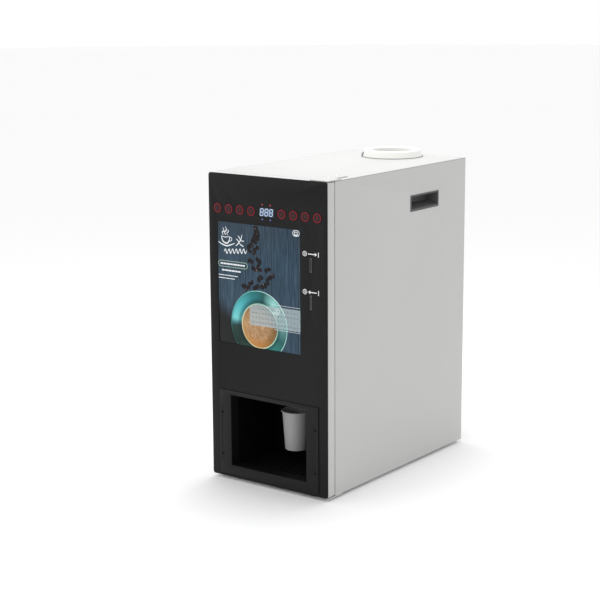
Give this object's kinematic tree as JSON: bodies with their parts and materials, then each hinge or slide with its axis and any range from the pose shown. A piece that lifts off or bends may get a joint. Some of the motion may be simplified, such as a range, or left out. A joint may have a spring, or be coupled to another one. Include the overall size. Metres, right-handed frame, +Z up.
{
  "type": "coffee vending machine",
  "caption": "Tabletop hot coffee vending machine with a hinged front door, selection buttons, coin slots, a cup bay and powder dispensing gear.",
  "frame": {"origin": "middle of the footprint on the floor, under the feet", "axes": "+X to the right as the customer sees the front, +Y from the door towards the back, +Z up"},
  "size_m": [0.342, 0.5948, 0.7555],
  "materials": {
    "powder_coat_white": "fine satin powder coat",
    "black_panel": "satin black acrylic panel",
    "black_plastic": "moulded satin",
    "button_black": "black cap with a red printed ring",
    "smoked_lens": "smoked window over a lit display",
    "poster_film": "back-lit printed panel",
    "white_plastic": "moulded, semi-gloss",
    "clear_plastic": "clear moulded polycarbonate",
    "grey_plastic": "moulded grey",
    "cup_paper": "coated board",
    "zinc_steel": "zinc-plated sheet",
    "stainless_steel": "drawn stainless steel",
    "black_rubber": "moulded rubber",
    "circuit_board": "glass-fibre board with green mask"
  },
  "bodies": {
    "cabinet": {"cabinet_wrap": "powder_coat_white", "top_cover": "powder_coat_white", "back_panel": "powder_coat_white", "hinge_top": "powder_coat_white", "hinge_bottom": "powder_coat_white", "cup_bay_liner": "black_plastic", "cup_fork": "black_plastic", "handle_pocket_left": "black_plastic", "handle_pocket_right": "black_plastic", "fan_housing": "black_plastic", "power_inlet": "black_plastic", "water_pump": "black_plastic", "bottle_seat_ring": "white_plastic", "mixing_bowl": "white_plastic", "water_tank": "clear_plastic", "powder_canister_1": "clear_plastic", "powder_canister_2": "clear_plastic", "powder_canister_3": "clear_plastic", "cup_magazine": "clear_plastic", "chassis_plate": "zinc_steel", "auger_motors": "zinc_steel", "whipper_motor": "zinc_steel", "power_supply": "zinc_steel", "boiler": "stainless_steel", "foot_1": "black_rubber", "foot_2": "black_rubber", "foot_3": "black_rubber", "foot_4": "black_rubber", "control_board": "circuit_board"},
    "door": {"door_fascia": "black_panel", "door_pan": "powder_coat_white", "lower_plate": "black_panel", "poster_panel": "poster_film", "display_window": "smoked_lens", "button_board": "circuit_board", "coin_slot_bezel": "grey_plastic", "coin_return_bezel": "grey_plastic", "coin_acceptor": "grey_plastic", "door_seal": "black_rubber"},
    "cash_box": {"cash_box": "zinc_steel"},
    "lock_cam": {"lock_cam": "zinc_steel"},
    "cup": {"paper_cup": "cup_paper"},
    "drip_tray": {"drip_tray": "black_plastic"},
    "drip_grille": {"drip_grille": "black_plastic"},
    "canister_lid": {"canister_lid": "white_plastic"},
    "auger_1": {"auger_1": "white_plastic"},
    "auger_2": {"auger_2": "white_plastic"},
    "auger_3": {"auger_3": "white_plastic"},
    "whipper": {"whipper_impeller": "white_plastic"},
    "cup_drop_ring": {"cup_drop_ring": "white_plastic"},
    "fan_rotor": {"fan_rotor": "black_plastic"},
    "rocker_switch": {"rocker_switch": "black_plastic"},
    "button_1": {"button_1": "button_black"},
    "button_2": {"button_2": "button_black"},
    "button_3": {"button_3": "button_black"},
    "button_4": {"button_4": "button_black"},
    "button_5": {"button_5": "button_black"},
    "button_6": {"button_6": "button_black"},
    "button_7": {"button_7": "button_black"},
    "button_8": {"button_8": "button_black"}
  },
  "joints": [
    {"name": "door_hinge", "type": "hinge", "parent": "cabinet", "child": "door", "pos_m": [0.163, -0.281, 0.373], "axis": [0, 0, 1], "range_deg": [0, 110]},
    {"name": "button_1_press", "type": "slide", "parent": "door", "child": "button_1", "axis": [0, 1, 0], "range_m": [0, 0.0015], "stiffness_N_per_m": 600},
    {"name": "button_2_press", "type": "slide", "parent": "door", "child": "button_2", "axis": [0, 1, 0], "range_m": [0, 0.0015], "stiffness_N_per_m": 600},
    {"name": "button_3_press", "type": "slide", "parent": "door", "child": "button_3", "axis": [0, 1, 0], "range_m": [0, 0.0015], "stiffness_N_per_m": 600},
    {"name": "button_4_press", "type": "slide", "parent": "door", "child": "button_4", "axis": [0, 1, 0], "range_m": [0, 0.0015], "stiffness_N_per_m": 600},
    {"name": "button_5_press", "type": "slide", "parent": "door", "child": "button_5", "axis": [0, 1, 0], "range_m": [0, 0.0015], "stiffness_N_per_m": 600},
    {"name": "button_6_press", "type": "slide", "parent": "door", "child": "button_6", "axis": [0, 1, 0], "range_m": [0, 0.0015], "stiffness_N_per_m": 600},
    {"name": "button_7_press", "type": "slide", "parent": "door", "child": "button_7", "axis": [0, 1, 0], "range_m": [0, 0.0015], "stiffness_N_per_m": 600},
    {"name": "button_8_press", "type": "slide", "parent": "door", "child": "button_8", "axis": [0, 1, 0], "range_m": [0, 0.0015], "stiffness_N_per_m": 600},
    {"name": "cash_box_slide", "type": "slide", "parent": "door", "child": "cash_box", "axis": [0, 1, 0], "range_m": [0, 0.06]},
    {"name": "lock_turn", "type": "hinge", "parent": "cabinet", "child": "lock_cam", "pos_m": [-0.151, -0.235, 0.6], "axis": [-1, 0, 0], "range_deg": [0, 90]},
    {"name": "cup_pull", "type": "slide", "parent": "cabinet", "child": "cup", "axis": [0, -1, 0], "range_m": [0, 0.15]},
    {"name": "drip_tray_lift", "type": "slide", "parent": "cabinet", "child": "drip_tray", "axis": [0, 0, 1], "range_m": [0, 0.015]},
    {"name": "drip_grille_lift", "type": "slide", "parent": "drip_tray", "child": "drip_grille", "axis": [0, 0, 1], "range_m": [0, 0.015]},
    {"name": "canister_lid_lift", "type": "slide", "parent": "cabinet", "child": "canister_lid", "axis": [0, 0, 1], "range_m": [0, 0.04]},
    {"name": "auger_1_spin", "type": "hinge", "parent": "cabinet", "child": "auger_1", "pos_m": [-0.104, 0.035, 0.462], "axis": [0, 1, 0], "continuous": true},
    {"name": "auger_2_spin", "type": "hinge", "parent": "cabinet", "child": "auger_2", "pos_m": [0, 0.035, 0.462], "axis": [0, 1, 0], "continuous": true},
    {"name": "auger_3_spin", "type": "hinge", "parent": "cabinet", "child": "auger_3", "pos_m": [0.104, 0.035, 0.462], "axis": [0, 1, 0], "continuous": true},
    {"name": "whipper_spin", "type": "hinge", "parent": "cabinet", "child": "whipper", "pos_m": [0, -0.107, 0.316], "axis": [0, 1, 0], "continuous": true},
    {"name": "cup_drop_turn", "type": "hinge", "parent": "cabinet", "child": "cup_drop_ring", "pos_m": [0.0025, -0.191, 0.217], "axis": [0, 0, 1], "continuous": true},
    {"name": "fan_spin", "type": "hinge", "parent": "cabinet", "child": "fan_rotor", "pos_m": [-0.122, 0.2802, 0.64], "axis": [0, 1, 0], "continuous": true},
    {"name": "rocker_tilt", "type": "hinge", "parent": "cabinet", "child": "rocker_switch", "pos_m": [0.1035, 0.291, 0.058], "axis": [-1, 0, 0], "range_deg": [0, 12]}
  ]
}
